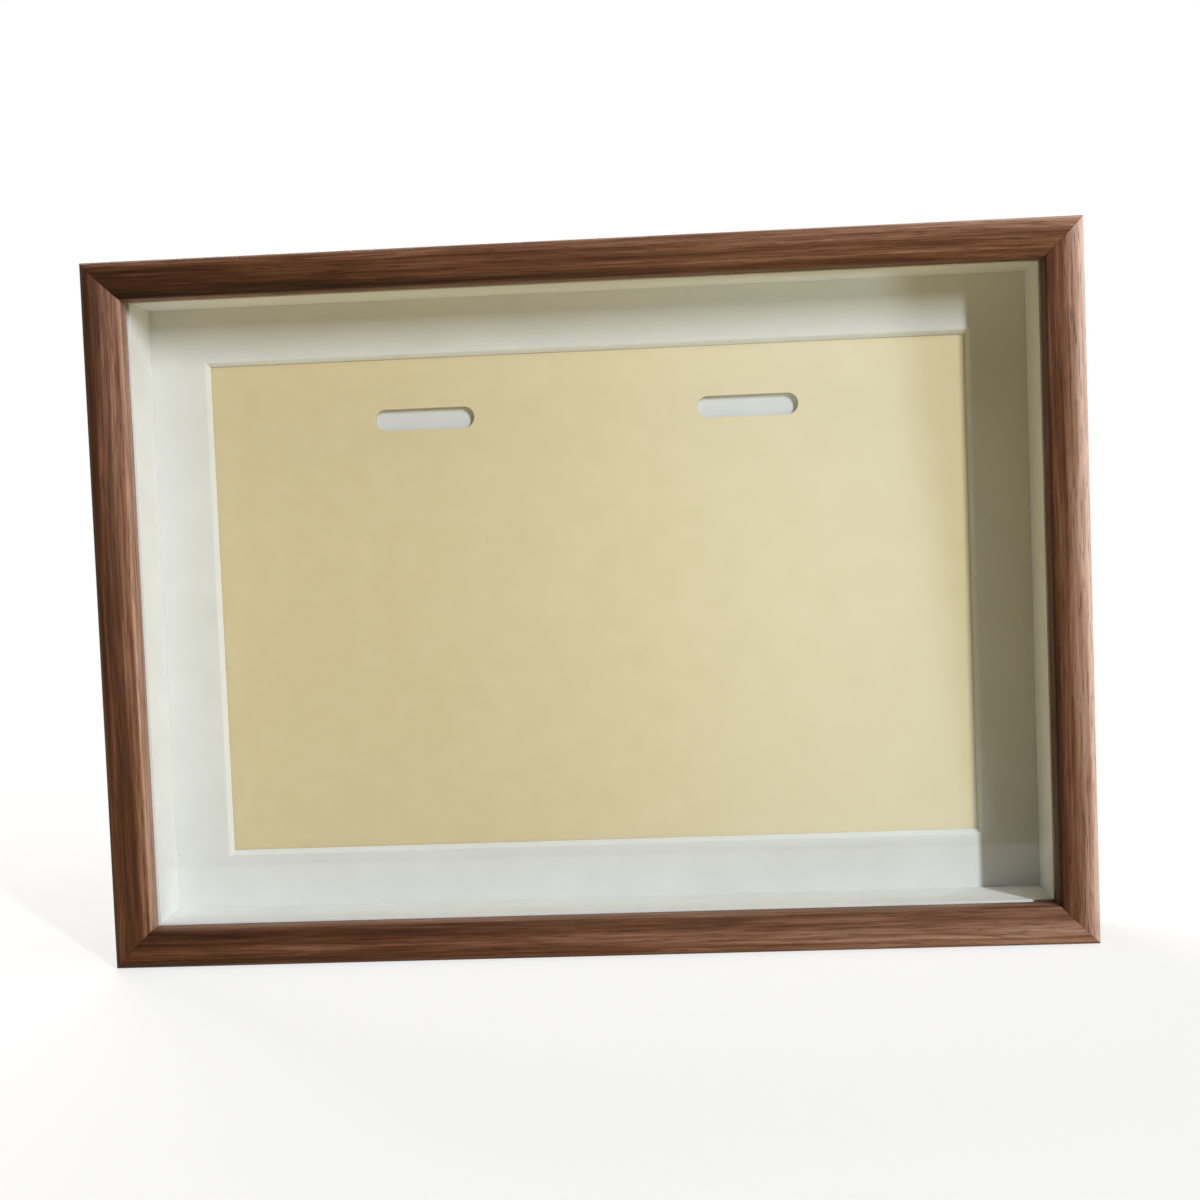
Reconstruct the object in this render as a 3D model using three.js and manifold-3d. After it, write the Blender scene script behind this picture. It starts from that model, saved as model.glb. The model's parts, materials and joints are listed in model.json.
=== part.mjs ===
// Medal shadow box: a deep mitred frame for one A4 sheet, glazed in front, with a bevelled window mat
// and a slotted medal board that lift out at the back once six turn buttons are swung clear.
// Millimetres, +Z up, front towards -Y, origin at the middle of the footprint.
import * as THREE from "three";
import { mergeVertices } from "three/addons/utils/BufferGeometryUtils.js";
import Module from "manifold-3d";

// The sheet that the box is made for, and how it sits in the rabbet
const sheetWidth = 297;
const sheetHeight = 210;
const sheetPlay = 0.5; // free room at each edge of a sheet
const fitGap = 0.3; // clearance between pieces that seat on each other

// Rail moulding: a ridge near the outside, a convex slope down to the sight edge
const railWall = 7; // wood beside the rabbet
const lipWidth = 5; // how far the lip reaches over the sheet
const lipDepth = 10; // from the ridge back to the rabbet shoulder
const ridgeInset = 3.6; // ridge line in from the outside wall
const shoulderDrop = 3.8; // height of the rounding between outside wall and ridge
const slopeDrop = 2.3; // fall from the ridge to the sight edge
const slopeCrown = 0.55; // how far the slope swells above a straight line
const arrisRadius = 0.5; // rounding of the sight edge
const mitreGap = 0.2;

// What lies in the rabbet, from the front
const glazingThickness = 2;
const linerDepth = 19;
const matThickness = 1.5;
const boardThickness = 2;
const cardThickness = 1.5;
const panelThickness = 3;

// Window in the mat, measured at the medal board, and the ribbon slots
const windowWidth = 249;
const windowHeight = 162.5;
const slotLength = 33;
const slotHeight = 7;
const slotSpacing = 107;
const slotDrop = 20; // slot centre below the top of the window

// Turn buttons of strip steel, each on a pan-head screw
const buttonLength = 22;
const buttonWidth = 6.4;
const buttonThickness = 1.2;
const buttonTipRise = 1.4; // the tip is turned up for a finger
const buttonTipRun = 3;
const buttonSpacing = 150; // between the two buttons of a long rail
const screwShank = 2.2;
const screwLength = 11; // below the head
const screwPoint = 3;
const screwHead = 5;
const screwHeadHeight = 1.5;

// Sawtooth hangers on the back panel, each on two nails
const hangerLength = 46;
const hangerHeight = 11;
const hangerThickness = 1;
const hangerEar = 7; // flat ear at each end
const hangerRamp = 3;
const hangerRise = 2.5; // bridge above the ears
const hangerTeeth = 10;
const toothPitch = 2.2;
const toothDepth = 1.4;
const hangerInset = 18; // top edge of a hanger in from the edge of the panel
const nailShank = 1.6;
const nailLength = 2.2; // in the panel
const nailHead = 4;
const nailHeadHeight = 1;

// V-nails across the mitres, and bumper pads at the corners of the back
const vNailLeg = 4.2;
const vNailThickness = 0.7;
const vNailDepth = 7;
const vNailInset = 1.6; // apex in from the outside walls
const vNailSink = 0.4; // driven below the back face
const padDiameter = 6.2;
const padThickness = 4;
const padEdge = 0.6; // chamfer
const padInset = 24; // pad centre in from the outer corner

const curveSteps = 8;
const roundSides = 20;
const domeSteps = 4;
const overcut = 1; // how far a cutting block runs past the faces it cuts

// Derived sizes
const rabbetWidth = sheetWidth + 2 * sheetPlay;
const rabbetHeight = sheetHeight + 2 * sheetPlay;
const outerWidth = rabbetWidth + 2 * railWall;
const outerHeight = rabbetHeight + 2 * railWall;
const railFace = railWall + lipWidth;

// Depths from the ridge: front face of each layer in the rabbet
const glazingFront = lipDepth + fitGap;
const linerFront = glazingFront + glazingThickness + fitGap;
const matFront = linerFront + linerDepth + fitGap;
const boardFront = matFront + matThickness + fitGap;
const cardFront = boardFront + boardThickness + fitGap;
const panelFront = cardFront + cardThickness + fitGap;
const panelBack = panelFront + panelThickness;
const railDepth = panelBack + fitGap;
const buttonFront = railDepth + fitGap;
const buttonBack = buttonFront + buttonThickness;
const padFront = railDepth + fitGap;
const overallDepth = padFront + padThickness;

const walnut = new THREE.MeshStandardMaterial({ color: 0x5a3a26, roughness: 0.5 });
const clearGlass = new THREE.MeshStandardMaterial({
  color: 0xf2f7f5,
  roughness: 0.03,
  transparent: true,
  opacity: 0.2,
});
const whitePaper = new THREE.MeshStandardMaterial({ color: 0xefeee8, roughness: 0.8 });
const creamBoard = new THREE.MeshStandardMaterial({ color: 0xe3d6a8, roughness: 0.85 });
const paleCard = new THREE.MeshStandardMaterial({ color: 0xe9e8e4, roughness: 0.85 });
const fibreboard = new THREE.MeshStandardMaterial({ color: 0x8a6a4a, roughness: 0.75 });
const zincSteel = new THREE.MeshStandardMaterial({ color: 0xb9bcc0, roughness: 0.35, metalness: 1 });
const darkRubber = new THREE.MeshStandardMaterial({ color: 0x2b2b2c, roughness: 0.8 });

// Solids for cuts and joins
const wasm = await Module();
wasm.setup();

function toSolid(geometry) {
  const bare = new THREE.BufferGeometry();
  bare.setAttribute("position", geometry.getAttribute("position"));
  bare.setIndex(geometry.getIndex());
  const merged = mergeVertices(bare, 1e-4);
  const mesh = new wasm.Mesh({
    numProp: 3,
    vertProperties: merged.getAttribute("position").array,
    triVerts: new Uint32Array(merged.getIndex().array),
  });
  return new wasm.Manifold(mesh);
}

function toGeometry(solid) {
  const { vertProperties, triVerts } = solid.getMesh();
  const geometry = new THREE.BufferGeometry();
  geometry.setAttribute("position", new THREE.BufferAttribute(vertProperties, 3));
  geometry.setIndex(new THREE.BufferAttribute(triVerts, 1));
  geometry.computeVertexNormals();
  return geometry;
}

function cut(geometry, tools) {
  return toGeometry(tools.reduce((solid, tool) => solid.subtract(toSolid(tool)), toSolid(geometry)));
}

function common(first, second) {
  return toGeometry(toSolid(first).intersect(toSolid(second)));
}

function piece(name, geometry, material) {
  const mesh = new THREE.Mesh(geometry, material);
  mesh.name = name;
  return mesh;
}

// A flat shape in X and Z, with its front face at a depth along Y
function sheet(shape, front, thickness) {
  const geometry = new THREE.ExtrudeGeometry(shape, {
    depth: thickness,
    bevelEnabled: false,
    curveSegments: curveSteps,
  });
  return geometry.rotateX(Math.PI / 2).translate(0, front + thickness, 0);
}

// A shape in X and Y, drawn out to a height along Z about the middle
function strip(shape, height) {
  const geometry = new THREE.ExtrudeGeometry(shape, {
    depth: height,
    bevelEnabled: false,
    curveSegments: curveSteps,
  });
  return geometry.translate(0, 0, -height / 2);
}

// A revolved outline of radius and depth, standing along Y
function turned(outline) {
  const points = outline.map(([radius, depth]) => new THREE.Vector2(radius, depth));
  return new THREE.LatheGeometry(points, roundSides);
}

// Outline of a domed head, from its rim to its crown
function dome(diameter, base, height) {
  return Array.from({ length: domeSteps + 1 }, (_, step) => {
    const angle = (step / domeSteps) * (Math.PI / 2);
    const radius = step < domeSteps ? (diameter / 2) * Math.cos(angle) : 0;
    return [radius, base + height * Math.sin(angle)];
  });
}

function pin(radius, front, back) {
  return turned([[0, front], [radius, front], [radius, back], [0, back]]);
}

function rectangle(width, height) {
  const shape = new THREE.Shape();
  shape.moveTo(-width / 2, -height / 2);
  shape.lineTo(width / 2, -height / 2);
  shape.lineTo(width / 2, height / 2);
  shape.lineTo(-width / 2, height / 2);
  shape.closePath();
  return shape;
}

// A round-ended outline from x = 0 to a length, about z = 0
function roundEnded(outline, length, width) {
  const radius = width / 2;
  outline.moveTo(radius, -radius);
  outline.lineTo(length - radius, -radius);
  outline.absarc(length - radius, 0, radius, -Math.PI / 2, Math.PI / 2);
  outline.lineTo(radius, radius);
  outline.absarc(radius, 0, radius, Math.PI / 2, (3 * Math.PI) / 2);
  return outline;
}

// Moulding section in depth and distance in from the outside wall
function railSection() {
  const section = new THREE.Shape();
  section.moveTo(railDepth, 0);
  section.lineTo(shoulderDrop, 0);
  section.absellipse(shoulderDrop, ridgeInset, shoulderDrop, ridgeInset, -Math.PI / 2, Math.PI, true);
  section.quadraticCurveTo(
    slopeDrop / 2 - slopeCrown * 2,
    (ridgeInset + railFace - arrisRadius) / 2,
    slopeDrop,
    railFace - arrisRadius,
  );
  section.quadraticCurveTo(slopeDrop + arrisRadius / 2, railFace, slopeDrop + 2 * arrisRadius, railFace);
  section.lineTo(lipDepth, railFace);
  section.lineTo(lipDepth, railWall);
  section.lineTo(railDepth, railWall);
  section.closePath();
  return section;
}

// A bottom rail about the middle of the frame, its ends drawn in along the mitres
function railBlank(length, span) {
  const geometry = new THREE.ExtrudeGeometry(railSection(), {
    depth: length,
    bevelEnabled: false,
    curveSegments: curveSteps,
  });
  const corners = geometry.getAttribute("position");
  const mitreBack = mitreGap / Math.SQRT2;
  for (let i = 0; i < corners.count; i += 1) {
    const depth = corners.getX(i);
    const inward = corners.getY(i);
    const drawnIn = inward + mitreBack;
    const along = corners.getZ(i) > 0 ? length / 2 - drawnIn : drawnIn - length / 2;
    corners.setXYZ(i, along, depth, inward - span / 2);
  }
  return geometry;
}

// V-nail outline in one corner of the frame, grown for its pocket
function vNailShape(signX, signZ, width, height, grow) {
  const near = vNailInset - grow;
  const far = vNailInset + vNailLeg + grow;
  const inner = vNailInset + vNailThickness + grow;
  const path = [[near, near], [far, near], [far, inner], [inner, inner], [inner, far], [near, far]];
  const place = ([u, w]) => new THREE.Vector2(signX * (width / 2 - u), signZ * (height / 2 - w));
  return new THREE.Shape(path.map(place));
}

function vNailPocket(signX, length, span) {
  const deep = vNailDepth + vNailSink + fitGap;
  return sheet(vNailShape(signX, -1, length, span, fitGap), railDepth - deep, deep + overcut);
}

function screw() {
  const under = buttonBack + fitGap;
  const end = under - screwLength;
  return turned([
    [0, end],
    [screwShank / 2, end + screwPoint],
    [screwShank / 2, under],
    ...dome(screwHead, under, screwHeadHeight),
  ]);
}

// A turn button along X from its screw, its tip turned up
function turnButton() {
  const start = -buttonWidth / 2;
  const end = start + buttonLength;
  const bend = end - buttonTipRun;
  const side = new THREE.Shape();
  side.moveTo(start, buttonFront);
  side.lineTo(bend, buttonFront);
  side.lineTo(end, buttonFront + buttonTipRise);
  side.lineTo(end, buttonBack + buttonTipRise);
  side.lineTo(bend, buttonBack);
  side.lineTo(start, buttonBack);
  side.closePath();
  const plan = roundEnded(new THREE.Shape(), buttonLength, buttonWidth);
  const tall = buttonThickness + buttonTipRise + 2 * overcut;
  const outline = sheet(plan, buttonFront - overcut, tall).translate(start, 0, 0);
  const hole = pin(screwShank / 2 + fitGap, buttonFront - overcut, buttonBack + overcut);
  return cut(common(strip(side, buttonWidth), outline), [hole]);
}

// A sawtooth hanger about its own middle, its teeth along the lower edge of the bridge
function hanger() {
  const ear = panelBack + fitGap;
  const half = hangerLength / 2;
  const foot = half - hangerEar;
  const top = foot - hangerRamp;
  const under = [[-half, 0], [-foot, 0], [-top, hangerRise], [top, hangerRise], [foot, 0], [half, 0]];
  const over = under.map(([x, rise]) => [x, rise + hangerThickness]).reverse();
  const side = new THREE.Shape([...under, ...over].map(([x, rise]) => new THREE.Vector2(x, ear + rise)));

  const plan = new THREE.Shape();
  const low = -hangerHeight / 2;
  const firstTooth = (-hangerTeeth * toothPitch) / 2;
  plan.moveTo(-half, low);
  for (let tooth = 0; tooth < hangerTeeth; tooth += 1) {
    const x = firstTooth + tooth * toothPitch;
    plan.lineTo(x, low);
    plan.lineTo(x + toothPitch / 2, low + toothDepth);
  }
  plan.lineTo(-firstTooth, low);
  plan.lineTo(half, low);
  plan.lineTo(half, -low);
  plan.lineTo(-half, -low);
  plan.closePath();
  const outline = sheet(plan, ear - overcut, hangerThickness + hangerRise + 2 * overcut);
  const holes = [-1, 1].map((end) => {
    const hole = pin(nailShank / 2 + fitGap, ear - overcut, ear + hangerThickness + overcut);
    return hole.translate(end * (half - hangerEar / 2), 0, 0);
  });
  return cut(common(strip(side, hangerHeight), outline), holes);
}

function hangerNail() {
  const under = panelBack + fitGap + hangerThickness + fitGap;
  return turned([
    [0, panelBack - nailLength],
    [nailShank / 2, panelBack - nailLength],
    [nailShank / 2, under],
    ...dome(nailHead, under, nailHeadHeight),
  ]);
}

function bumperPad() {
  const radius = padDiameter / 2;
  return turned([
    [0, padFront],
    [radius, padFront],
    [radius, padFront + padThickness - padEdge],
    [radius - padEdge, padFront + padThickness],
    [0, padFront + padThickness],
  ]);
}

// A block between the mat's two faces whose sides slope like the bevel
function windowBlock() {
  const block = new THREE.BoxGeometry(windowWidth, matThickness + 2 * overcut, windowHeight);
  const corners = block.getAttribute("position");
  for (let i = 0; i < corners.count; i += 1) {
    const spread = corners.getY(i) < 0 ? matThickness + overcut : -overcut;
    corners.setX(i, corners.getX(i) + Math.sign(corners.getX(i)) * spread);
    corners.setZ(i, corners.getZ(i) + Math.sign(corners.getZ(i)) * spread);
  }
  return block.translate(0, matFront + matThickness / 2, 0);
}

function medalBoard() {
  const shape = rectangle(sheetWidth, sheetHeight);
  const height = windowHeight / 2 - slotDrop;
  for (const side of [-1, 1]) {
    const slot = roundEnded(new THREE.Shape(), slotLength, slotHeight);
    const left = (side * slotSpacing) / 2 - slotLength / 2;
    const points = slot.getPoints(curveSteps).map((p) => new THREE.Vector2(p.x + left, p.y + height));
    shape.holes.push(new THREE.Path(points));
  }
  return sheet(shape, boardFront, boardThickness);
}

const box = new THREE.Group();
box.position.set(0, -overallDepth / 2, outerHeight / 2);

// The four sides: each is drawn as a bottom side and turned about the middle of the frame
const longButtons = [-buttonSpacing / 2, buttonSpacing / 2];
const sides = [
  { name: "bottom", turn: 0, length: outerWidth, span: outerHeight, buttons: longButtons },
  { name: "left", turn: Math.PI / 2, length: outerHeight, span: outerWidth, buttons: [0] },
  { name: "top", turn: Math.PI, length: outerWidth, span: outerHeight, buttons: longButtons },
  { name: "right", turn: -Math.PI / 2, length: outerHeight, span: outerWidth, buttons: [0] },
];

// Left or right as seen from the front, for a place along a turned side
function handOf(along, turn) {
  return along * Math.cos(turn) < 0 ? "left" : "right";
}

for (const { name, turn, length, span, buttons } of sides) {
  const side = new THREE.Group();
  side.rotation.y = turn;
  box.add(side);

  const wallMiddle = (railWall - span) / 2;
  const pilots = buttons.map((x) => {
    const bottom = buttonBack - screwLength - fitGap;
    return pin(screwShank / 2 + fitGap, bottom, railDepth + overcut).translate(x, 0, wallMiddle);
  });
  const pockets = [-1, 1].map((end) => vNailPocket(end, length, span));
  side.add(piece(`${name}_rail`, cut(railBlank(length, span), [...pilots, ...pockets]), walnut));

  // Top and bottom liners run the full width, and the side liners stand between them
  const long = name === "bottom" || name === "top";
  const linerThickness = lipWidth - fitGap;
  const linerEnds = long ? railWall + fitGap : railFace + fitGap;
  const liner = new THREE.BoxGeometry(length - 2 * linerEnds, linerDepth, linerThickness);
  liner.translate(0, linerFront + linerDepth / 2, railFace - (linerThickness + span) / 2);
  side.add(piece(`${name}_liner`, liner, whitePaper));

  // At rest the buttons lie along the rail: towards the middle of a long one, downwards on a short one
  for (const x of buttons) {
    const label = long ? `${name}_${handOf(x, turn)}` : name;
    const reversed = long ? x > 0 : name === "right";
    const button = piece(`turn_button_${label}`, turnButton(), zincSteel);
    button.position.set(x, 0, wallMiddle);
    button.rotation.y = reversed ? Math.PI : 0;
    const fixing = piece(`button_screw_${label}`, screw(), zincSteel);
    fixing.position.copy(button.position);
    side.add(button, fixing);
  }

  if (long) {
    for (const end of [-1, 1]) {
      const pad = piece(`bumper_pad_${name}_${handOf(end, turn)}`, bumperPad(), darkRubber);
      pad.position.set(end * (length / 2 - padInset), 0, wallMiddle);
      side.add(pad);
    }
  }
}

for (const [signX, across] of [[-1, "left"], [1, "right"]]) {
  for (const [signZ, up] of [[-1, "lower"], [1, "upper"]]) {
    const shape = vNailShape(signX, signZ, outerWidth, outerHeight, 0);
    const nail = sheet(shape, railDepth - vNailSink - vNailDepth, vNailDepth);
    box.add(piece(`v_nail_${up}_${across}`, nail, zincSteel));
  }
}

// The sheets in the rabbet
const wholeSheet = rectangle(sheetWidth, sheetHeight);
const mat = cut(sheet(wholeSheet, matFront, matThickness), [windowBlock()]);
box.add(
  piece("glazing", sheet(wholeSheet, glazingFront, glazingThickness), clearGlass),
  piece("window_mat", mat, whitePaper),
  piece("medal_board", medalBoard(), creamBoard),
  piece("backing_card", sheet(wholeSheet, cardFront, cardThickness), paleCard),
);

// Hangers on the back panel: one to hang the box wide, one to hang it tall
const hangers = [
  { name: "wide", turn: 0, edge: sheetHeight / 2 },
  { name: "tall", turn: -Math.PI / 2, edge: sheetWidth / 2 },
];
const nailHoles = [];
for (const { name, turn, edge } of hangers) {
  const seat = new THREE.Group();
  seat.rotation.y = turn;
  box.add(seat);
  const height = edge - hangerInset - hangerHeight / 2;
  const plate = piece(`${name}_hanger`, hanger(), zincSteel);
  plate.position.z = height;
  seat.add(plate);
  [-1, 1].forEach((end, i) => {
    const x = (end * (hangerLength - hangerEar)) / 2;
    const nail = piece(`${name}_hanger_nail_${i + 1}`, hangerNail(), zincSteel);
    nail.position.set(x, 0, height);
    seat.add(nail);
    const hole = pin(nailShank / 2 + fitGap, panelBack - nailLength - fitGap, panelBack + overcut);
    nailHoles.push(hole.translate(x, 0, height).rotateY(turn));
  });
}
box.add(piece("back_panel", cut(sheet(wholeSheet, panelFront, panelThickness), nailHoles), fibreboard));

export default box;
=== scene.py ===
import json
import math

import bmesh
import bpy
from mathutils import Matrix, Vector


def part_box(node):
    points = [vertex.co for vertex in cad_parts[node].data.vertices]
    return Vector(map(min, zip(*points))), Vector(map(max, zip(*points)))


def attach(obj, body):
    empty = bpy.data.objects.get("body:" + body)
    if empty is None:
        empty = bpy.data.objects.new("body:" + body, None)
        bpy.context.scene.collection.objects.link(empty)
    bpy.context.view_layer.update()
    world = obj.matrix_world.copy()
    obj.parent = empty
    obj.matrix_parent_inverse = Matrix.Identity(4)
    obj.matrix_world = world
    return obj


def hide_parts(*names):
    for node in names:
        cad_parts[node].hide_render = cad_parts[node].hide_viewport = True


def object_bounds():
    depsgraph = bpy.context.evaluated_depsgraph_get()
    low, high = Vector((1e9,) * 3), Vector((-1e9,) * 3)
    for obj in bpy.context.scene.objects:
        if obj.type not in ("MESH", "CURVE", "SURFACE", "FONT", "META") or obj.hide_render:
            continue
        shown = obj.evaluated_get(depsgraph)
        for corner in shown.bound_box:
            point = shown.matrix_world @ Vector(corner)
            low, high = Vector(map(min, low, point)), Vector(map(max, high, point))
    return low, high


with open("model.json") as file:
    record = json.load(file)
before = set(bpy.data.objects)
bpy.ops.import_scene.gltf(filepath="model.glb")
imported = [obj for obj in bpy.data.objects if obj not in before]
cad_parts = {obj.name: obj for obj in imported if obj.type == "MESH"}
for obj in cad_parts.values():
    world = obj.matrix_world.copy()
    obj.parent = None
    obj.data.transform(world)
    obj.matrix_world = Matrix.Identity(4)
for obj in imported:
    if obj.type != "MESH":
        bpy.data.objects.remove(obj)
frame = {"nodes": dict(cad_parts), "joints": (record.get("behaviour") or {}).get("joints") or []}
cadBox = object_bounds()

mm = 0.001
quarterTurn, fullTurn = math.pi / 2, 2 * math.pi
weldGap, hairGap = 1e-6, 1e-7  # m, points this near are one: in a finished piece, and while it is made
squareOn = 0.9999  # a face whose normal is this near an axis counts as square to it
scene = bpy.context.scene
scene.view_settings.view_transform = "Standard"


# sRGB hex to linear light
def linear(hexColour):
    parts = [int(hexColour[i:i + 2], 16) / 255 for i in (1, 3, 5)]
    return tuple(c / 12.92 if c <= 0.04045 else ((c + 0.055) / 1.055) ** 2.4 for c in parts) + (1.0,)


# Adds a node; an input is a value or another node's output, and stops fill a colour ramp
def addNode(tree, kind, inputs=None, stops=None, **settings):
    node = tree.nodes.new(kind)
    for name, value in settings.items():
        setattr(node, name, value)
    for name, value in (inputs or {}).items():
        if isinstance(value, bpy.types.NodeSocket):
            tree.links.new(value, node.inputs[name])
        else:
            node.inputs[name].default_value = value
    if stops:
        ramp = node.color_ramp.elements
        while len(ramp) < len(stops):
            ramp.new(1.0)
        for element, (place, colour) in zip(ramp, stops):
            element.position = place
            element.color = colour
    return node


def newMaterial(name):
    material = bpy.data.materials.new(name)
    material.use_nodes = True
    material.node_tree.nodes.clear()
    return material, material.node_tree


def newObject(name, data):
    obj = bpy.data.objects.new(name, data)
    scene.collection.objects.link(obj)
    return obj


def meshFrom(work, name):
    mesh = bpy.data.meshes.new(name)
    work.to_mesh(mesh)
    work.free()
    return mesh


# Turns an object with its modifiers into a plain mesh at the origin, closed and facing outwards.
# Faces square to an axis are shaded flat, so that an eased edge does not tint the face beside it
def plainMesh(obj, name, sharpAngle=40):
    depsgraph = bpy.context.evaluated_depsgraph_get()
    mesh = bpy.data.meshes.new_from_object(obj.evaluated_get(depsgraph))
    mesh.transform(obj.matrix_world)
    bpy.data.objects.remove(obj)
    work = bmesh.new()
    work.from_mesh(mesh)
    bmesh.ops.remove_doubles(work, verts=work.verts, dist=weldGap)
    bmesh.ops.recalc_face_normals(work, faces=work.faces)
    work.to_mesh(mesh)
    work.free()
    mesh.name = name
    mesh.set_sharp_from_angle(angle=math.radians(sharpAngle))
    slanted = [max(abs(part) for part in face.normal) < squareOn for face in mesh.polygons]
    mesh.polygons.foreach_set("use_smooth", slanted)
    return newObject(name, mesh)


def dress(obj, material):
    obj.data.materials.clear()
    obj.data.materials.append(material)


def finishPiece(obj, body, replaced, material=None):
    if material:
        dress(obj, material)
    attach(obj, body)
    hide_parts(*replaced)


def easeEdges(obj, width, segments):
    eased = obj.modifiers.new("easedEdge", "BEVEL")
    eased.width = width * mm
    eased.segments = segments
    return eased


# Cuts one closed shape out of another; crossed is for a cutter whose own parts cross
def cutAway(obj, cutter, crossed=False):
    cut = obj.modifiers.new("cutAway", "BOOLEAN")
    cut.object = cutter
    cut.solver = "EXACT"
    cut.use_self = crossed


# A geometry tree with named inputs, and a modifier that sets them by identifier
def newTree(name, sockets):
    tree = bpy.data.node_groups.new(name, "GeometryNodeTree")
    tree.interface.new_socket("Geometry", in_out="INPUT", socket_type="NodeSocketGeometry")
    for socket, kind in sockets.items():
        tree.interface.new_socket(socket, in_out="INPUT", socket_type=kind)
    tree.interface.new_socket("Geometry", in_out="OUTPUT", socket_type="NodeSocketGeometry")
    return tree, addNode(tree, "NodeGroupInput").outputs


def useTree(obj, tree, values):
    modifier = obj.modifiers.new(tree.name, "NODES")
    modifier.node_group = tree
    for item in tree.interface.items_tree:
        if item.item_type == "SOCKET" and item.in_out == "INPUT" and item.name in values:
            modifier[item.identifier] = values[item.name]


# Places that the pieces share, read from the frame
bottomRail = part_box("bottom_rail")
frameLeft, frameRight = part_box("left_rail")[0].x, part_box("right_rail")[1].x
frameLow, frameTop = bottomRail[0].z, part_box("top_rail")[1].z
frontY, railBackY = bottomRail[0].y, bottomRail[1].y
middleZ = (frameLow + frameTop) / 2
railFace = bottomRail[1].z - bottomRail[0].z


def nodeMiddle(node):
    low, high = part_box(node)
    return (low + high) / 2


# Sockets of the colour mix node: its factor, its two colours and its result
mixFactor, mixFirst, mixSecond, mixResult = 0, 6, 7, 2


# Scale of a pattern from its real size in mm
def patternScale(size):
    return 1 / (size * mm)


# Walnut, planed and sealed with a satin lacquer: long growth lines that sway a little and short dark pores,
# from deep brown to a pinkish tan, with only a low sheen. Sizes are in mm
walnut = {
    "tones": ((0.28, "#27170c"), (0.42, "#482b18"), (0.52, "#613e29"), (0.62, "#7b5740"), (0.74, "#9b7965"),
              (0.88, "#bca091")),
    "sway": {"length": 60.0, "width": 20.0, "reach": 1.7, "detail": 3.0},  # how the lines wander
    "band": {"length": 200.0, "width": 4.5, "detail": 2.0, "twist": 0.1},  # slow bands of heart and sap
    "line": {"length": 45.0, "width": 1.1, "detail": 6.0, "twist": 0.1},  # growth lines along a rail
    "pore": {"length": 9.0, "width": 0.4, "detail": 2.0, "twist": 0.0},  # real ones are finer; drawn to show
    "fineness": 0.62, "bandShare": 0.7, "figureRange": (0.3, 0.7),
    "poreColour": "#2b180c", "poreRange": (0.54, 0.66), "poreShare": 0.55,
    "bump": 0.12, "bumpStrength": 0.6, "roughness": 0.5, "roughSpread": 0.06, "specular": 0.1,
    "frontDepth": (2.5, 6.5),  # behind the ridge, where the painted light and shade of the front fade out
    "paintedSightEdgeLight": (0.95, 0.99),  # shares of the rail's face, where the painted light at the sight edge sets in
}


# One unit is then a pattern's length along the grain, and its width across it
def grainScale(pattern):
    across = patternScale(pattern["width"])
    return patternScale(pattern["length"]), across, across
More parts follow.
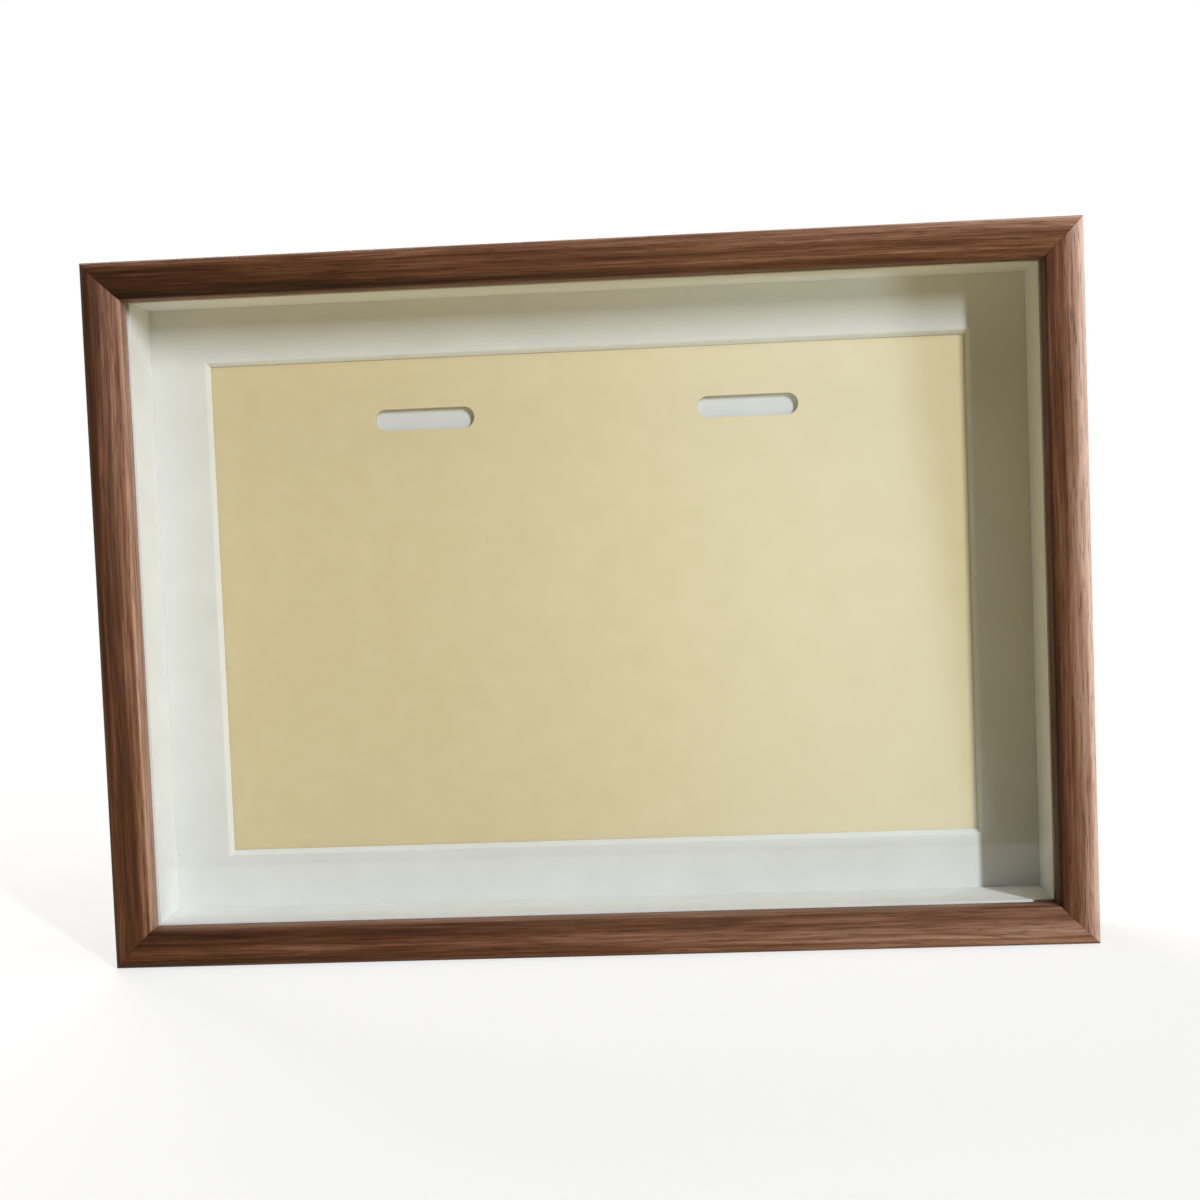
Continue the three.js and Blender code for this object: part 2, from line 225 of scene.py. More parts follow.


# The grain runs along the rail; on the front, painted light and shade go from end to end and from the outside
# inwards
def walnutMaterial(name, side, reach, outside):
    w = walnut
    material, tree = newMaterial(name)
    place = addNode(tree, "ShaderNodeTexCoord").outputs["Object"]
    own = addNode(tree, "ShaderNodeMapping", {
        "Vector": place, "Location": (0, 0, middleZ), "Rotation": (0, side["turn"], 0)},
        vector_type="TEXTURE").outputs[0]
    cut = addNode(tree, "ShaderNodeVectorMath", {0: own, 1: side["plank"]}, operation="ADD").outputs[0]
    slow = addNode(tree, "ShaderNodeVectorMath", {
        0: cut, 1: grainScale(w["sway"])}, operation="MULTIPLY").outputs[0]
    drift = addNode(tree, "ShaderNodeTexNoise", {
        "Vector": slow, "Scale": 1.0, "Detail": w["sway"]["detail"]}).outputs["Color"]
    centred = addNode(tree, "ShaderNodeVectorMath", {
        0: drift, 1: (0.5, 0.5, 0.5)}, operation="SUBTRACT").outputs[0]
    wander = w["sway"]["reach"] * mm
    grainwise = addNode(tree, "ShaderNodeVectorMath", {
        0: centred, 1: (0, wander, wander), 2: cut}, operation="MULTIPLY_ADD").outputs[0]
    patterns = {}
    for kind in ("band", "line", "pore"):
        scaled = addNode(tree, "ShaderNodeVectorMath", {
            0: grainwise, 1: grainScale(w[kind])}, operation="MULTIPLY").outputs[0]
        patterns[kind] = addNode(tree, "ShaderNodeTexNoise", {
            "Vector": scaled, "Scale": 1.0, "Detail": w[kind]["detail"], "Roughness": w["fineness"],
            "Distortion": w[kind]["twist"]}).outputs["Fac"]
    both = addNode(tree, "ShaderNodeMath", {
        0: patterns["band"], 1: w["bandShare"], 2: patterns["line"]}, operation="MULTIPLY_ADD").outputs[0]
    figure = addNode(tree, "ShaderNodeMath", {0: both, 1: 1 + w["bandShare"]}, operation="DIVIDE").outputs[0]
    ways = addNode(tree, "ShaderNodeSeparateXYZ", {0: own}).outputs
    # Painted light and shade along the rail: paler where the light from the right falls
    paintedLightAlong = addNode(tree, "ShaderNodeMapRange", {
        "Value": ways["X"], "From Min": -reach, "From Max": reach,
        "To Min": side["tone"][0], "To Max": side["tone"][1]}).outputs[0]
    # Painted light and shade across the face, from the outside inwards, such as a lit rim and a shaded inner
    # edge
    inwards = addNode(tree, "ShaderNodeMapRange", {
        "Value": ways["Z"], "From Min": -outside, "From Max": railFace - outside,
        "To Min": side["across"][0], "To Max": side["across"][1]}).outputs[0]
    # Painted highlight at the sight edge, brightest on the left side, with a little painted shade on the
    # right side
    edgeStart, edgeEnd = (railFace * share - outside for share in w["paintedSightEdgeLight"])
    paintedSightEdgeLight = addNode(tree, "ShaderNodeMapRange", {
        "Value": ways["Z"], "From Min": edgeStart, "From Max": edgeEnd, "To Max": side["edge"]}).outputs[0]
    # The painted light and shade fade out behind the front, so the sides and back keep the plain wood
    fadeStart, fadeEnd = (frontY + depth * mm for depth in w["frontDepth"])
    front = addNode(tree, "ShaderNodeMapRange", {
        "Value": ways["Y"], "From Min": fadeStart, "From Max": fadeEnd,
        "To Min": 1.0, "To Max": 0.0}).outputs[0]
    paintedLight = addNode(tree, "ShaderNodeMath", {0: paintedLightAlong, 1: inwards}, operation="ADD").outputs[0]
    paintedLightOnFront = addNode(tree, "ShaderNodeMath", {0: paintedLight, 1: front}, operation="MULTIPLY").outputs[0]
    allPaintedLight = addNode(tree, "ShaderNodeMath", {0: paintedLightOnFront, 1: paintedSightEdgeLight}, operation="ADD").outputs[0]
    # The grain figure with the painted light and shade added picks the colour from the wood's tones
    grainAndPaintedLight = addNode(tree, "ShaderNodeMath", {0: figure, 1: allPaintedLight}, operation="ADD").outputs[0]
    colour = addNode(tree, "ShaderNodeValToRGB", {"Fac": grainAndPaintedLight},
                     stops=[(at, linear(tone)) for at, tone in w["tones"]]).outputs["Color"]
    pores = addNode(tree, "ShaderNodeMapRange", {
        "Value": patterns["pore"], "From Min": w["poreRange"][0], "From Max": w["poreRange"][1],
        "To Max": w["poreShare"]}).outputs[0]
    grain = addNode(tree, "ShaderNodeMix", {
        mixFactor: pores, mixFirst: colour, mixSecond: linear(w["poreColour"])}, data_type="RGBA")
    height = addNode(tree, "ShaderNodeMath", {0: figure, 1: pores}, operation="SUBTRACT").outputs[0]
    bump = addNode(tree, "ShaderNodeBump", {
        "Height": height, "Strength": w["bumpStrength"], "Distance": w["bump"] * mm}).outputs["Normal"]
    rough = addNode(tree, "ShaderNodeMapRange", {
        "Value": figure, "From Min": w["figureRange"][0], "From Max": w["figureRange"][1],
        "To Min": w["roughness"] + w["roughSpread"], "To Max": w["roughness"] - w["roughSpread"]}).outputs[0]
    shader = addNode(tree, "ShaderNodeBsdfPrincipled", {
        "Base Color": grain.outputs[mixResult], "Roughness": rough, "Normal": bump,
        "Specular IOR Level": w["specular"]})
    addNode(tree, "ShaderNodeOutputMaterial", {"Surface": shader.outputs[0]})
    return material


# Float glass, polished: clear, with a faint reflection on each face that grows at a slant
glass = {"tint": "#fefffe", "mirror": "#f3f3f3", "reflection": 0.028, "growth": 5.0, "roughness": 0.02}


def glassMaterial():
    material, tree = newMaterial("floatGlass")
    slant = addNode(tree, "ShaderNodeLayerWeight").outputs["Facing"]
    growth = addNode(tree, "ShaderNodeMath", {0: slant, 1: glass["growth"]}, operation="POWER").outputs[0]
    mirror = addNode(tree, "ShaderNodeMapRange", {"Value": growth, "To Min": glass["reflection"]}).outputs[0]
    clear = addNode(tree, "ShaderNodeBsdfTransparent", {"Color": linear(glass["tint"])}).outputs[0]
    shine = addNode(tree, "ShaderNodeBsdfPrincipled", {
        "Base Color": linear(glass["mirror"]), "Metallic": 1.0, "Roughness": glass["roughness"]}).outputs[0]
    pane = addNode(tree, "ShaderNodeMixShader", {0: mirror, 1: clear, 2: shine})
    addNode(tree, "ShaderNodeOutputMaterial", {"Surface": pane.outputs[0]})
    return material


# Finishes of two hues a little apart, mixed by a slow cloud and a fine grain that also stands up a little.
# Cloud, grain and bump are in mm; real grains are finer, and are drawn coarse enough to show
anyPaper = {"grainShare": 0.35, "mixRange": (0.45, 0.9), "cloudFineness": 0.6, "grainDetail": 2.0,
            "grainFineness": 0.7, "bumpStrength": 0.5, "roughness": 0.9, "specular": 0.0}
finishes = {
    # Uncoated paper on board: matt, with cloudy pulp and a fine tooth; where it is cut, its pale core shows
    "uncoatedLinerPaper": {**anyPaper, "first": "#e7e7e6", "second": "#e1e1df", "cloud": 14.0, "grain": 0.7,
                           "bump": 0.02},
    "uncoatedMatPaper": {**anyPaper, "first": "#d6d6d2", "second": "#d0d0cb", "cloud": 18.0, "grain": 0.8,
                         "bump": 0.025},
    "cutMatCore": {**anyPaper, "first": "#d8d8d3", "second": "#d2d2cc", "cloud": 5.0, "grain": 0.5,
                   "bump": 0.02},
    "uncoatedPaleCard": {**anyPaper, "first": "#d0d1d2", "second": "#cbcccd", "cloud": 12.0, "grain": 0.7,
                         "bump": 0.02},
    # Calendered paper: rolled smooth, so that it has a soft sheen
    "calenderedCreamPaper": {**anyPaper, "first": "#cdbd94", "second": "#c8b88c", "cloud": 9.0, "grain": 0.9,
                             "bump": 0.003, "roughness": 0.5, "specular": 0.7},
    # Zinc-plated strip steel, stamped and tumbled: pale grey, cloudy gloss, tiny scuffs
    "zincPlatedSteel": {"first": "#c3c6c9", "second": "#a9adb1", "cloud": 2.6, "grain": 0.5, "bump": 0.02,
                        "grainDetail": 2.0, "grainFineness": 0.7, "bumpStrength": 0.35, "metallic": 1.0,
                        "glossRange": (0.3, 0.7), "gloss": (0.26, 0.42)},
    # Moulded rubber: near black, matt, with a fine mould grain and grey dust
    "mouldedRubber": {"first": "#232324", "second": "#39393a", "cloud": 2.2, "grain": 0.35, "bump": 0.03,
                      "grainDetail": 1.0, "bumpStrength": 0.5, "roughness": 0.74},
}
plainFinish = {"grainShare": 0.0, "mixRange": (0.0, 1.0), "cloudDetail": 3.0, "cloudFineness": 0.5,
               "grainFineness": 0.5, "metallic": 0.0, "specular": 0.5}  # where a finish says nothing else


def twoHueMaterial(name):
    f = {**plainFinish, **finishes[name]}
    material, tree = newMaterial(name)
    place = addNode(tree, "ShaderNodeTexCoord").outputs["Object"]
    cloud, grain = (addNode(tree, "ShaderNodeTexNoise", {
        "Vector": place, "Scale": patternScale(f[kind]), "Detail": f[kind + "Detail"],
        "Roughness": f[kind + "Fineness"]}).outputs["Fac"] for kind in ("cloud", "grain"))
    both = addNode(tree, "ShaderNodeMath", {
        0: grain, 1: f["grainShare"], 2: cloud}, operation="MULTIPLY_ADD").outputs[0]
    spread = addNode(tree, "ShaderNodeMapRange", {
        "Value": both, "From Min": f["mixRange"][0], "From Max": f["mixRange"][1]}).outputs[0]
    colour = addNode(tree, "ShaderNodeMix", {
        mixFactor: spread, mixFirst: linear(f["first"]), mixSecond: linear(f["second"])}, data_type="RGBA")
    bump = addNode(tree, "ShaderNodeBump", {
        "Height": grain, "Strength": f["bumpStrength"], "Distance": f["bump"] * mm}).outputs["Normal"]
    rough = f.get("roughness")
    if "gloss" in f:
        rough = addNode(tree, "ShaderNodeMapRange", {
            "Value": cloud, "From Min": f["glossRange"][0], "From Max": f["glossRange"][1],
            "To Min": f["gloss"][0], "To Max": f["gloss"][1]}).outputs[0]
    shader = addNode(tree, "ShaderNodeBsdfPrincipled", {
        "Base Color": colour.outputs[mixResult], "Roughness": rough, "Normal": bump,
        "Metallic": f["metallic"], "Specular IOR Level": f["specular"]})
    addNode(tree, "ShaderNodeOutputMaterial", {"Surface": shader.outputs[0]})
    return material


# Pressed fibreboard: brown fibres laid every way, smooth face, slight pressed sheen. Sizes are in mm
fibreboard = {
    "tones": ((0.36, "#6d4e34"), (0.55, "#8c6848"), (0.78, "#a5835f")),
    "fibre": 1.6, "fibreDetail": 6.0, "fibreFineness": 0.7, "fibreTwist": 1.4,
    "fleck": 0.6, "fleckShare": 0.16, "bump": 0.04, "bumpStrength": 0.5, "roughness": 0.62, "specular": 0.35,
}


def fibreMaterial():
    f = fibreboard
    material, tree = newMaterial("pressedFibreboard")
    place = addNode(tree, "ShaderNodeTexCoord").outputs["Object"]
    fibre = addNode(tree, "ShaderNodeTexNoise", {
        "Vector": place, "Scale": patternScale(f["fibre"]), "Detail": f["fibreDetail"],
        "Roughness": f["fibreFineness"], "Distortion": f["fibreTwist"]}).outputs["Fac"]
    fleck = addNode(tree, "ShaderNodeTexVoronoi", {
        "Vector": place, "Scale": patternScale(f["fleck"])}).outputs["Distance"]
    mixed = addNode(tree, "ShaderNodeMath", {
        0: fleck, 1: f["fleckShare"], 2: fibre}, operation="MULTIPLY_ADD").outputs[0]
    colour = addNode(tree, "ShaderNodeValToRGB", {"Fac": mixed},
                     stops=[(at, linear(tone)) for at, tone in f["tones"]]).outputs["Color"]
    bump = addNode(tree, "ShaderNodeBump", {
        "Height": mixed, "Strength": f["bumpStrength"], "Distance": f["bump"] * mm}).outputs["Normal"]
    shader = addNode(tree, "ShaderNodeBsdfPrincipled", {
        "Base Color": colour, "Roughness": f["roughness"], "Normal": bump,
        "Specular IOR Level": f["specular"]})
    addNode(tree, "ShaderNodeOutputMaterial", {"Surface": shader.outputs[0]})
    return material


dressings = {name: twoHueMaterial(name) for name in finishes}
zincSteel = dressings["zincPlatedSteel"]
floatGlass = glassMaterial()
pressedFibre = fibreMaterial()
print("materials ready")

# One moulding for the four sides. Its section runs in depth behind the ridge and inwards, in mm
moulding = {
    "shoulderDrop": 3.8, "ridgeInset": 3.6, "slopeDrop": 2.3, "slopeCrown": 0.55, "arrisRadius": 0.5,
    "lipDepth": 10.0, "wall": 7.0, "curveSteps": 20, "arrisSteps": 8,
    "mitreGap": 0.03, "easedEdge": 0.13, "easedSegments": 2, "easedAngle": 40,
}
# Turn of each side about the frame's middle, and where it is cut from the plank. Tone, across and edge are
# painted light and shade on the front, set by how the light from the right falls: tone from end to end, paler
# towards the right and all along the right side and darker towards the lower left; across from the outside
# inwards, with a bright rim and a shaded inner edge on the right side and a paler inner slope on the left
# side;
# and edge a painted highlight at the sight edge, brightest on the left side, with a little painted shade on
# the right.
# Its length runs the way the turn goes: bottom to the right, right side up, top to the left, left side down
sides = {
    "bottom": {"turn": 0.0, "long": True, "plank": (0.31, 0.017, 0.052), "tone": (-0.075, 0.12),
               "across": (0.03, -0.03), "edge": 0.09},
    "left": {"turn": quarterTurn, "long": False, "plank": (0.83, 0.149, 0.113), "tone": (-0.02, -0.075),
             "across": (-0.08, 0.05), "edge": 0.22},
    "top": {"turn": 2 * quarterTurn, "long": True, "plank": (1.47, 0.061, 0.291), "tone": (0.15, -0.07),
            "across": (0.054, -0.12), "edge": 0.09},
    "right": {"turn": -quarterTurn, "long": False, "plank": (2.09, 0.223, 0.407), "tone": (0.165, 0.178),
              "across": (0.235, -0.265), "edge": -0.03},
}


def curveBetween(start, control, end, steps):
    points = []
    for step in range(1, steps + 1):
        t = step / steps
        points.append(tuple((1 - t) ** 2 * a + 2 * t * (1 - t) * c + t * t * b
                            for a, c, b in zip(start, control, end)))
    return points


def mouldingSection():
    m = moulding
    face, depth = railFace / mm, (railBackY - frontY) / mm
    steps = m["curveSteps"]
    points = [(depth, 0.0)]
    for step in range(steps + 1):
        angle = step / steps * quarterTurn
        points.append((m["shoulderDrop"] * (1 - math.sin(angle)), m["ridgeInset"] * (1 - math.cos(angle))))
    slopeEnd = (m["slopeDrop"], face - m["arrisRadius"])
    # The control point lies twice as far out as the slope swells
    crown = (m["slopeDrop"] / 2 - 2 * m["slopeCrown"], (m["ridgeInset"] + slopeEnd[1]) / 2)
    points += curveBetween((0.0, m["ridgeInset"]), crown, slopeEnd, steps)
    arrisEnd = (m["slopeDrop"] + 2 * m["arrisRadius"], face)
    points += curveBetween(slopeEnd, (m["slopeDrop"] + m["arrisRadius"] / 2, face), arrisEnd, m["arrisSteps"])
    points += [(m["lipDepth"], face), (m["lipDepth"], m["wall"]), (depth, m["wall"])]
    mesh = bpy.data.meshes.new("mouldingSection")
    count = len(points)
    mesh.from_pydata([(d * mm, inward * mm, 0) for d, inward in points],
                     [(i, (i + 1) % count) for i in range(count)], [])
    return mesh


# Sweeps the section along a side, draws its ends in along the mitres and turns it into place
def mouldingTree():
    tree, given = newTree("mitredMoulding", {
        "Length": "NodeSocketFloat", "Span": "NodeSocketFloat", "Mitre Gap": "NodeSocketFloat",
        "Front": "NodeSocketFloat", "Middle": "NodeSocketFloat", "Turn": "NodeSocketFloat",
        "Wood": "NodeSocketMaterial"})
    section = addNode(tree, "GeometryNodeMeshToCurve", {"Mesh": given["Geometry"]}).outputs[0]
    line = addNode(tree, "GeometryNodeCurvePrimitiveLine", {"Start": (0, 0, 0), "End": (0, 0, 1)}).outputs[0]
    swept = addNode(tree, "GeometryNodeCurveToMesh", {
        "Curve": line, "Profile Curve": section, "Fill Caps": True}).outputs[0]
    position = addNode(tree, "GeometryNodeInputPosition").outputs[0]
    parts = addNode(tree, "ShaderNodeSeparateXYZ", {0: position}).outputs
    # From 0 and 1 along the line to -1 and 1, then out to half of the length less what the mitre takes.
    # The gap lies square to the mitre, and each side gives half of it
    end = addNode(tree, "ShaderNodeMath", {
        0: parts["Z"], 1: 2.0, 2: -1.0}, operation="MULTIPLY_ADD").outputs[0]
    half = addNode(tree, "ShaderNodeMath", {0: given["Length"], 1: 0.5}, operation="MULTIPLY").outputs[0]
    drawn = addNode(tree, "ShaderNodeMath", {
        0: given["Mitre Gap"], 1: math.sqrt(0.5), 2: parts["Y"]}, operation="MULTIPLY_ADD").outputs[0]
    reach = addNode(tree, "ShaderNodeMath", {0: half, 1: drawn}, operation="SUBTRACT").outputs[0]
    along = addNode(tree, "ShaderNodeMath", {0: end, 1: reach}, operation="MULTIPLY").outputs[0]
    depth = addNode(tree, "ShaderNodeMath", {0: parts["X"], 1: given["Front"]}, operation="ADD").outputs[0]
    height = addNode(tree, "ShaderNodeMath", {
        0: given["Span"], 1: -0.5, 2: parts["Y"]}, operation="MULTIPLY_ADD").outputs[0]
    drawnOut = addNode(tree, "ShaderNodeCombineXYZ", {"X": along, "Y": depth, "Z": height}).outputs[0]
    turned = addNode(tree, "ShaderNodeVectorRotate", {
        "Vector": drawnOut, "Angle": given["Turn"]}, rotation_type="Y_AXIS").outputs[0]
    lift = addNode(tree, "ShaderNodeCombineXYZ", {"Z": given["Middle"]}).outputs[0]
    placed = addNode(tree, "ShaderNodeVectorMath", {0: turned, 1: lift}, operation="ADD").outputs[0]
    moved = addNode(tree, "GeometryNodeSetPosition", {"Geometry": swept, "Position": placed}).outputs[0]
    real = addNode(tree, "GeometryNodeRealizeInstances", {"Geometry": moved}).outputs[0]
    wooden = addNode(tree, "GeometryNodeSetMaterial", {"Geometry": real, "Material": given["Wood"]})
    addNode(tree, "NodeGroupOutput", {0: wooden.outputs[0]})
    return tree


# Pockets in the backs of the mitres, around the V-nails
pocket = {"play": 0.3, "leg": 4.2, "thickness": 0.7, "deeper": 0.3, "overcut": 2.0}
vNails = {"v_nail_%s_%s" % (up, across): (signX, signZ)
          for up, signZ in (("lower", -1), ("upper", 1)) for across, signX in (("left", -1), ("right", 1))}


def pocketCutter():
    p = pocket
    near, inner, far = -p["play"], p["thickness"] + p["play"], p["leg"] + p["play"]
    path = [(near, near), (far, near), (far, inner), (inner, inner), (inner, far), (near, far)]
    work = bmesh.new()
    for node, (signX, signZ) in vNails.items():
        low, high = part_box(node)
        apexX = low.x if signX < 0 else high.x
        apexZ = low.z if signZ < 0 else high.z
        floorY = low.y - p["deeper"] * mm
        corners = [work.verts.new((apexX - signX * u * mm, floorY, apexZ - signZ * v * mm)) for u, v in path]
        base = work.faces.new(corners)
        grown = bmesh.ops.extrude_face_region(work, geom=[base])
        lifted = [v for v in grown["geom"] if isinstance(v, bmesh.types.BMVert)]
        bmesh.ops.translate(work, verts=lifted, vec=(0, railBackY - low.y + p["overcut"] * mm, 0))
    bmesh.ops.recalc_face_normals(work, faces=work.faces)
    return newObject("pocketCutter", meshFrom(work, "pocketCutter"))


mitredMoulding = mouldingTree()
cutter = pocketCutter()
width, tall = frameRight - frameLeft, frameTop - frameLow
for name, side in sides.items():
    length, span = (width, tall) if side["long"] else (tall, width)
    wood = walnutMaterial("satinWalnut" + name.capitalize(), side, length / 2, span / 2)
    rail = newObject(name + "Section", mouldingSection())
    useTree(rail, mitredMoulding, {
        "Length": length, "Span": span,
        "Mitre Gap": moulding["mitreGap"] * mm, "Front": frontY, "Middle": middleZ,
        "Turn": side["turn"], "Wood": wood})
    eased = easeEdges(rail, moulding["easedEdge"], moulding["easedSegments"])
    eased.limit_method = "ANGLE"
    eased.angle_limit = math.radians(moulding["easedAngle"])
    solid = plainMesh(rail, name + "RailBlank")
    cutAway(solid, cutter)
    finishPiece(plainMesh(solid, name + "Rail"), "frame", [name + "_rail"], wood)
bpy.data.objects.remove(cutter)
print("rails swept:", len(sides))

# Liner strips between the glass and the mat.
# Liner and mat are pressed together on the real box, so the CAD clearance is closed but for a hairline
liner = {"easedEdge": 0.12, "easedSegments": 3, "sharpAngle": 50, "closeGap": 0.27}
for name, side in sides.items():
    low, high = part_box(name + "_liner")
    high.y += liner["closeGap"] * mm
    if not side["long"]:
        low.z -= liner["closeGap"] * mm
        high.z += liner["closeGap"] * mm
    work = bmesh.new()
    bmesh.ops.create_cube(work, size=1.0)
    bmesh.ops.scale(work, vec=high - low, verts=work.verts)
    bmesh.ops.translate(work, vec=(low + high) / 2, verts=work.verts)
    strip = newObject(name + "LinerBlank", meshFrom(work, name + "Liner"))
    easeEdges(strip, liner["easedEdge"], liner["easedSegments"])
    strip = plainMesh(strip, name + "Liner", liner["sharpAngle"])
    finishPiece(strip, "frame", [name + "_liner"], dressings["uncoatedLinerPaper"])
print("liner strips cut")

# Window mat: the window is cut at 45 degrees, so the white core of the board shows as a bright edge
windowMat = {"windowWidth": 249.0, "windowHeight": 162.5, "easedEdge": 0.1, "easedSegments": 2,
             "sharpAngle": 25}
matFace, matCore = 0, 1  # places of the two papers on the mat


def matMesh():
    low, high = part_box("window_mat")
    thick = high.y - low.y
    halfWidth, halfHeight = windowMat["windowWidth"] * mm / 2, windowMat["windowHeight"] * mm / 2
    work = bmesh.new()

    def ring(x, z, y):
        corners = ((-1, -1), (1, -1), (1, 1), (-1, 1))
        return [work.verts.new((sx * x, y, middleZ + sz * z)) for sx, sz in corners]

    frontOut = ring(high.x, high.z - middleZ, low.y)
    frontIn = ring(halfWidth + thick, halfHeight + thick, low.y)
    backIn = ring(halfWidth, halfHeight, high.y)
    backOut = ring(high.x, high.z - middleZ, high.y)
    for first, second, stock in ((frontOut, frontIn, matFace), (frontIn, backIn, matCore),
                                 (backIn, backOut, matFace), (backOut, frontOut, matCore)):
        for i in range(4):
            j = (i + 1) % 4
            face = work.faces.new((first[i], first[j], second[j], second[i]))
            face.material_index = stock
    bmesh.ops.recalc_face_normals(work, faces=work.faces)
    return meshFrom(work, "windowMat")


blank = newObject("windowMatBlank", matMesh())
for stock in ("uncoatedMatPaper", "cutMatCore"):
    blank.data.materials.append(dressings[stock])
easeEdges(blank, windowMat["easedEdge"], windowMat["easedSegments"]).material = matCore
finishPiece(plainMesh(blank, "windowMat", windowMat["sharpAngle"]), "back_pack", ["window_mat"])
print("window mat cut")


def arcPoints(centre, radius, start, end, steps):
    angles = [start + (end - start) * i / steps for i in range(steps + 1)]
    return [(centre[0] + radius * math.cos(a), centre[1] + radius * math.sin(a)) for a in angles]


def roundHole(x, radius, corners):
    return arcPoints((x, 0), radius, 0, fullTurn * (corners - 1) / corners, corners - 1)


# A round-ended outline from x = 0 to a length, about y = 0
def roundEnded(length, width, steps):
    r = width / 2
    return (arcPoints((length - r, 0), r, -quarterTurn, quarterTurn, steps)
            + arcPoints((r, 0), r, quarterTurn, 3 * quarterTurn, steps))


def roundCornered(width, height, radius, steps):
    points = []
    for i, (sx, sy) in enumerate(((1, -1), (1, 1), (-1, 1), (-1, -1))):
        centre = (sx * (width / 2 - radius), sy * (height / 2 - radius))
        points += arcPoints(centre, radius, (i - 1) * quarterTurn, i * quarterTurn, steps)
    return points


# A flat piece from outlines in mm, with eased edges: drawn in X and Z, its thickness along Y about zero
def stampedSheet(name, outlines, thickness, easedEdge, rounding=2):
    curve = bpy.data.curves.new(name, "CURVE")
    curve.dimensions = "2D"
    curve.fill_mode = "BOTH"
    curve.extrude = (thickness / 2 - easedEdge) * mm
    curve.bevel_depth = easedEdge * mm
    curve.bevel_resolution = rounding
    curve.offset = -easedEdge * mm
    for outline in outlines:
        spline = curve.splines.new("POLY")
        spline.points.add(len(outline) - 1)
        for point, (x, y) in zip(spline.points, outline):
            point.co = (x * mm, y * mm, 0, 1)
        spline.use_cyclic_u = True
    flat = plainMesh(newObject(name + "Flat", curve), name)
    flat.data.transform(Matrix.Rotation(quarterTurn, 4, "X"))
    return flat


# A board as large as its CAD node, with rounded corners and the holes it is given
def cutBoard(name, node, board, holes=()):
    width, thickness, height = ((end - start) / mm for start, end in zip(*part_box(node)))
    outline = roundCornered(width, height, board["cornerRadius"], board["cornerSteps"])
    sheet = stampedSheet(name, [outline, *holes], thickness, board["easedEdge"])
    sheet.data.transform(Matrix.Translation(nodeMiddle(node)))
    return sheet


# Medal board with its two ribbon slots
medalBoard = {"slotLength": 33.0, "slotHeight": 7.0, "slotSpacing": 107.0, "slotDrop": 20.0, "slotSteps": 24,
              "cornerRadius": 0.6, "cornerSteps": 4, "easedEdge": 0.15}


def ribbonSlot(side):
    b = medalBoard
    left = side * b["slotSpacing"] / 2 - b["slotLength"] / 2
    up = windowMat["windowHeight"] / 2 - b["slotDrop"]
    return [(x + left, z + up) for x, z in roundEnded(b["slotLength"], b["slotHeight"], b["slotSteps"])]


board = cutBoard("medalBoard", "medal_board", medalBoard, [ribbonSlot(side) for side in (-1, 1)])
finishPiece(board, "back_pack", ["medal_board"], dressings["calenderedCreamPaper"])
print("medal board cut")

# Back panel, its corners a little rounded
backPanel = {"cornerRadius": 1.5, "cornerSteps": 6, "easedEdge": 0.3}
panel = cutBoard("backPanel", "back_panel", backPanel)
finishPiece(panel, "back_pack", ["back_panel"], pressedFibre)

# Sheets and nails whose CAD shape is already right
dress(frame["nodes"]["glazing"], floatGlass)
dress(frame["nodes"]["backing_card"], dressings["uncoatedPaleCard"])
for node in vNails:
    dress(frame["nodes"][node], zincSteel)
print("sheets dressed")


# Cuts extra edges across a flat strip at these places along X, then lifts it by its rise there
def bendStrip(obj, places, rise):
    work = bmesh.new()
    work.from_mesh(obj.data)
    for x in places:
        bmesh.ops.bisect_plane(work, geom=work.verts[:] + work.edges[:] + work.faces[:], dist=hairGap,
                               plane_co=(x * mm, 0, 0), plane_no=(1, 0, 0))
    for vertex in work.verts:
        vertex.co.y += rise(vertex.co.x / mm) * mm
    work.to_mesh(obj.data)
    work.free()


def smoothStep(x, start, end):
    t = min(max((x - start) / (end - start), 0.0), 1.0)
    return t * t * (3 - 2 * t)


# From 0 to 1 over a run, starting in a curve that is bendRun long and going on straight
def easedRamp(x, bendRun, run):
    x = max(x, 0.0)
    height = x * x / (2 * bendRun) if x < bendRun else x - bendRun / 2
    return height / (run - bendRun / 2)


# Turn buttons: round-ended strips whose tips are turned up for a finger
turnButton = {
    "length": 22.0, "width": 6.4, "thickness": 1.2, "tipRise": 1.4, "tipRun": 3.0, "bendRun": 1.2,
    "bendSteps": 6, "endSteps": 24, "holeRadius": 1.4, "holeCorners": 32, "easedEdge": 0.16,
}
pivots = {}
for joint in frame["joints"]:
    if joint["type"] == "hinge":
        pivots[joint["child"]] = Vector(joint["pos_m"])


def makeTurnButton(body, pivot):
    t = turnButton
    start = -t["width"] / 2
    bend = start + t["length"] - t["tipRun"]
    outline = [(x + start, z) for x, z in roundEnded(t["length"], t["width"], t["endSteps"])]
    hole = roundHole(0, t["holeRadius"], t["holeCorners"])
    name = body.replace("turn_button", "button")
    button = stampedSheet(name, [outline, hole], t["thickness"], t["easedEdge"])
    curl = [bend + i * t["bendRun"] / t["bendSteps"] for i in range(t["bendSteps"] + 1)]
    bendStrip(button, curl, lambda x: t["tipRise"] * easedRamp(x - bend, t["bendRun"], t["tipRun"]))
    towards = nodeMiddle(body) - pivot
    direction = Vector((towards.x, 0, 0)) if abs(towards.x) > abs(towards.z) else Vector((0, 0, towards.z))
    direction.normalize()
    seat = Matrix(((direction.x, 0, -direction.z, pivot.x), (0, 1, 0, pivot.y + t["thickness"] * mm / 2),
                   (direction.z, 0, direction.x, pivot.z), (0, 0, 0, 1)))
    button.data.transform(seat)
    finishPiece(button, body, [body], zincSteel)


